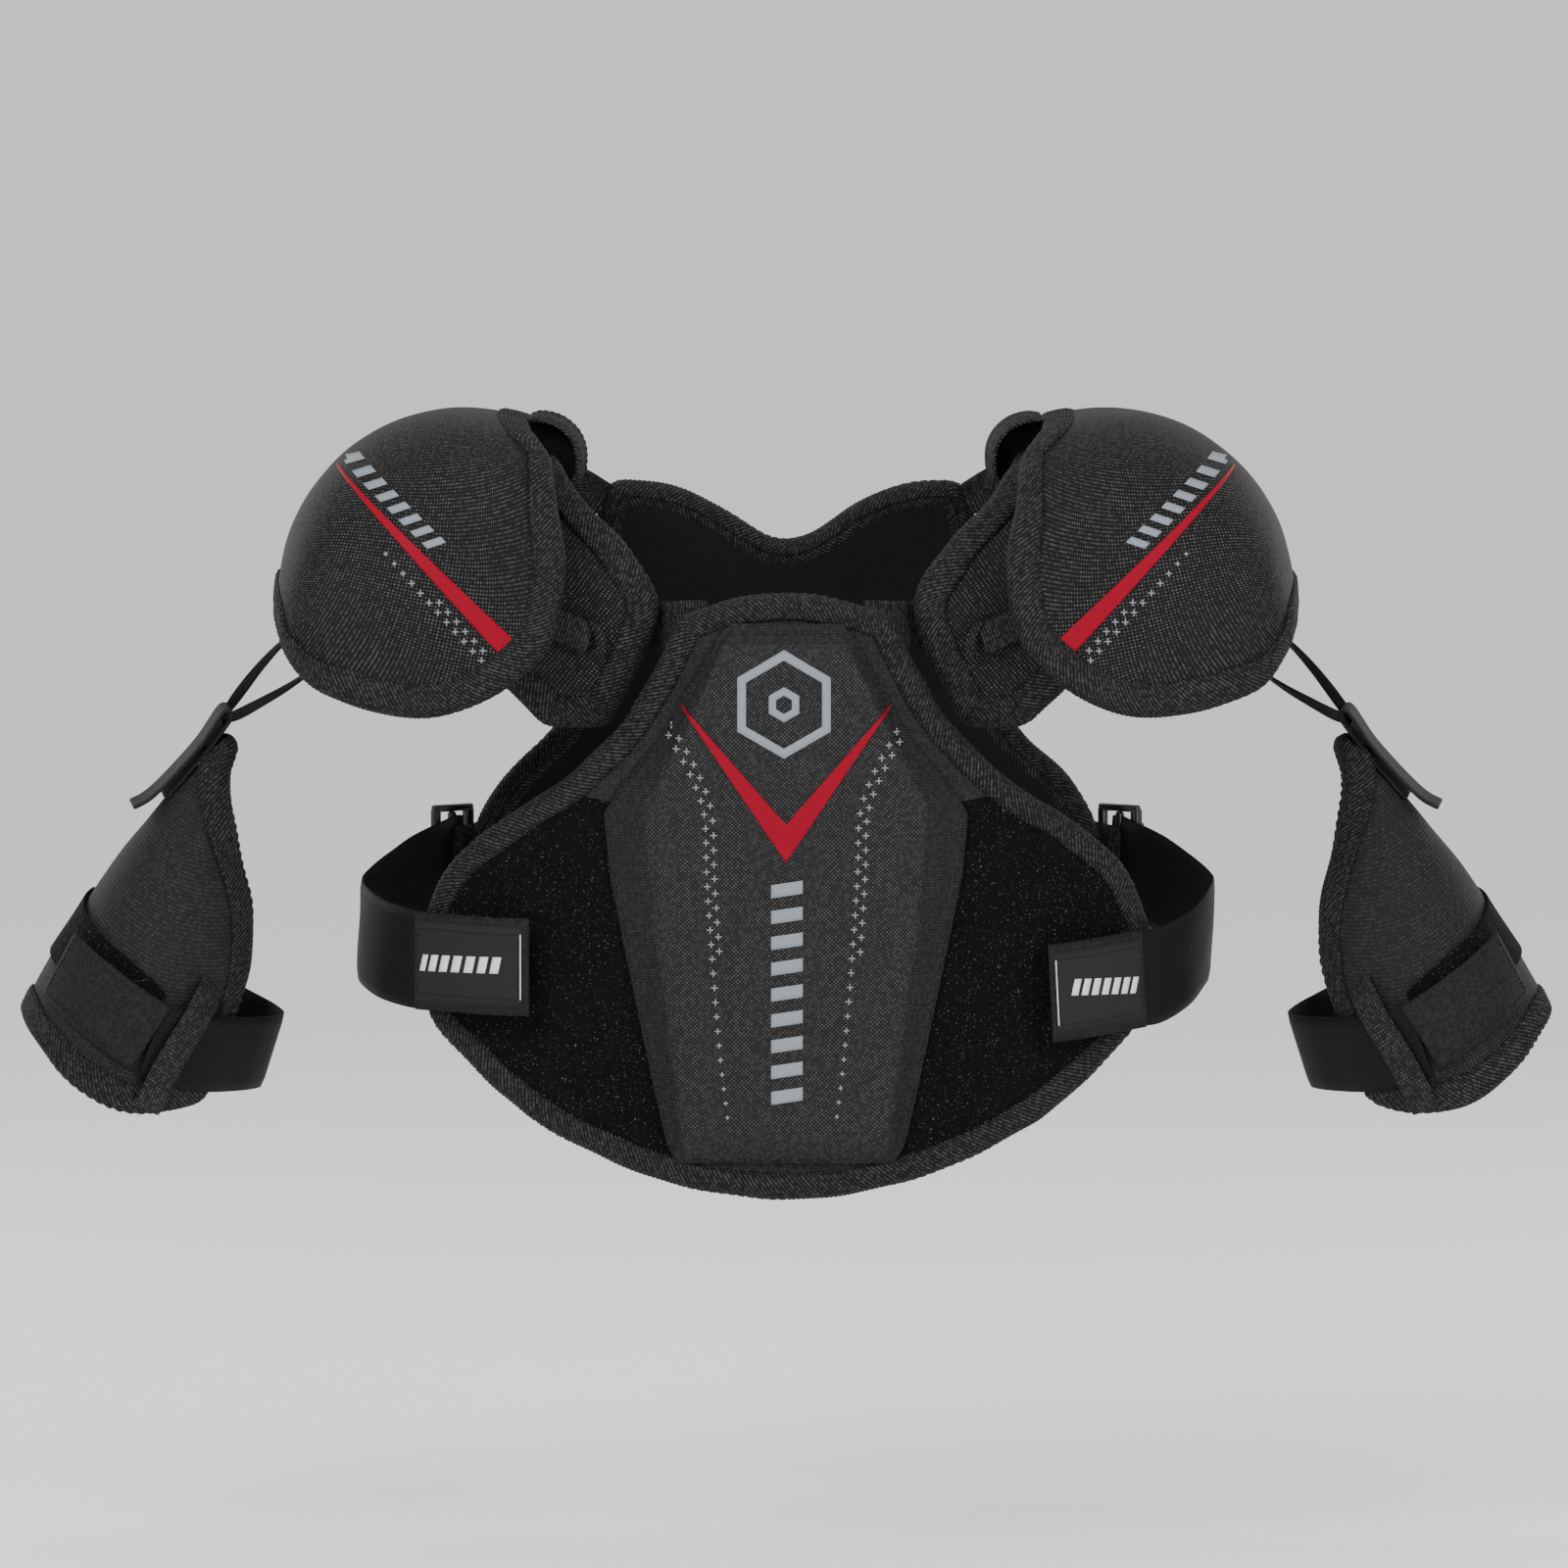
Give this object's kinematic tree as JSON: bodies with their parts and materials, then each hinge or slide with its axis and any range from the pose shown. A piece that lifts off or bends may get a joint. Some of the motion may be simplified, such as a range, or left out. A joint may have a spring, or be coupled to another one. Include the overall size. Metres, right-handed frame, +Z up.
{
  "type": "hockey shoulder pads",
  "caption": "Ice hockey shoulder pads: padded chest and back panels under shoulder arches, domed caps, laced-on biceps guards and elastic side straps.",
  "frame": {"origin": "middle of the neck opening, level with the top edge of the chest pad", "axes": "+Z up, +X towards the wearer's left, the chest faces -Y"},
  "size_m": [0.786, 0.254, 0.3978],
  "materials": {
    "padded_nylon": "dotted woven nylon over foam",
    "moulded_panel": "heat-moulded nylon over foam, with raised ribs",
    "tricot_liner": "smooth brushed knit",
    "twill_binding": "herringbone twill tape, sewn",
    "brushed_loop": "napped hook-and-loop field",
    "flat_elastic": "woven elastic with fine lines along it",
    "ribbed_webbing": "ribbed webbing",
    "hook_tab": "stitched tab with hook tape behind",
    "elastic_lace": "braided elastic lace",
    "hard_plastic": "moulded polyethylene, hidden inside",
    "buckle_plastic": "glossy acetal"
  },
  "bodies": {
    "back": {"back_liner": "tricot_liner", "back_foam": "padded_nylon", "spine_plate": "moulded_panel", "back_binding": "twill_binding", "arch_foam_left": "padded_nylon", "arch_liner_left": "tricot_liner", "arch_binding_left": "twill_binding", "arch_webbing_left": "ribbed_webbing", "strap_anchor_left": "ribbed_webbing", "buckle_left": "buckle_plastic", "side_strap_rear_left": "flat_elastic", "cap_tether_left": "twill_binding", "arch_foam_right": "padded_nylon", "arch_liner_right": "tricot_liner", "arch_binding_right": "twill_binding", "arch_webbing_right": "ribbed_webbing", "strap_anchor_right": "ribbed_webbing", "buckle_right": "buckle_plastic", "side_strap_rear_right": "flat_elastic", "cap_tether_right": "twill_binding"},
    "chest": {"chest_liner": "tricot_liner", "chest_foam": "padded_nylon", "sternum_insert": "hard_plastic", "sternum_plate": "moulded_panel", "chest_binding": "twill_binding", "chest_loop_left": "brushed_loop", "chest_loop_right": "brushed_loop", "chest_link_left": "flat_elastic", "chest_link_right": "flat_elastic"},
    "cap_left": {"cap_cover_left": "padded_nylon", "cap_insert_left": "hard_plastic", "cap_liner_left": "tricot_liner", "cap_binding_left": "twill_binding"},
    "lace_left": {"lace_loop_left": "elastic_lace"},
    "guard_left": {"guard_foam_left": "padded_nylon", "guard_liner_left": "tricot_liner", "guard_binding_left": "twill_binding", "guard_loop_left": "brushed_loop", "arm_elastic_left": "flat_elastic", "arm_keeper_left": "ribbed_webbing", "hanger_strap_left": "ribbed_webbing"},
    "arm_tab_left": {"arm_tab_left": "hook_tab"},
    "side_left": {"side_strap_front_left": "flat_elastic", "side_tab_left": "hook_tab"},
    "cap_right": {"cap_cover_right": "padded_nylon", "cap_insert_right": "hard_plastic", "cap_liner_right": "tricot_liner", "cap_binding_right": "twill_binding"},
    "lace_right": {"lace_loop_right": "elastic_lace"},
    "guard_right": {"guard_foam_right": "padded_nylon", "guard_liner_right": "tricot_liner", "guard_binding_right": "twill_binding", "guard_loop_right": "brushed_loop", "arm_elastic_right": "flat_elastic", "arm_keeper_right": "ribbed_webbing", "hanger_strap_right": "ribbed_webbing"},
    "arm_tab_right": {"arm_tab_right": "hook_tab"},
    "side_right": {"side_strap_front_right": "flat_elastic", "side_tab_right": "hook_tab"}
  },
  "joints": [
    {"name": "chest_swing", "type": "hinge", "parent": "back", "child": "chest", "pos_m": [0, -0.106, -0.014], "axis": [1, 0, 0], "range_deg": [0, 12]},
    {"name": "cap_lift_left", "type": "hinge", "parent": "back", "child": "cap_left", "pos_m": [0.131, 0, 0.077], "axis": [0, -1, 0], "range_deg": [0, 45]},
    {"name": "lace_swing_left", "type": "hinge", "parent": "cap_left", "child": "lace_left", "pos_m": [0.241, 0, -0.02], "axis": [1, 0, 0], "range_deg": [-25, 25]},
    {"name": "guard_swing_left", "type": "hinge", "parent": "lace_left", "child": "guard_left", "pos_m": [0.29, 0, -0.068], "axis": [0, -1, 0], "range_deg": [-8, 40]},
    {"name": "arm_tab_peel_left", "type": "hinge", "parent": "guard_left", "child": "arm_tab_left", "pos_m": [0.32631, -0.06243, -0.22938], "axis": [0.3007, 0, -0.9537], "range_deg": [0, 100]},
    {"name": "side_strap_open_left", "type": "hinge", "parent": "back", "child": "side_left", "pos_m": [0.2205, 0, -0.178], "axis": [0, 0, 1], "range_deg": [0, 75]},
    {"name": "cap_lift_right", "type": "hinge", "parent": "back", "child": "cap_right", "pos_m": [-0.131, 0, 0.077], "axis": [0, 1, 0], "range_deg": [0, 45]},
    {"name": "lace_swing_right", "type": "hinge", "parent": "cap_right", "child": "lace_right", "pos_m": [-0.241, 0, -0.02], "axis": [1, 0, 0], "range_deg": [-25, 25]},
    {"name": "guard_swing_right", "type": "hinge", "parent": "lace_right", "child": "guard_right", "pos_m": [-0.29, 0, -0.068], "axis": [0, 1, 0], "range_deg": [-8, 40]},
    {"name": "arm_tab_peel_right", "type": "hinge", "parent": "guard_right", "child": "arm_tab_right", "pos_m": [-0.32631, -0.06243, -0.22938], "axis": [0.3007, 0, 0.9537], "range_deg": [0, 100]},
    {"name": "side_strap_open_right", "type": "hinge", "parent": "back", "child": "side_right", "pos_m": [-0.2205, 0, -0.178], "axis": [0, 0, -1], "range_deg": [0, 75]}
  ]
}
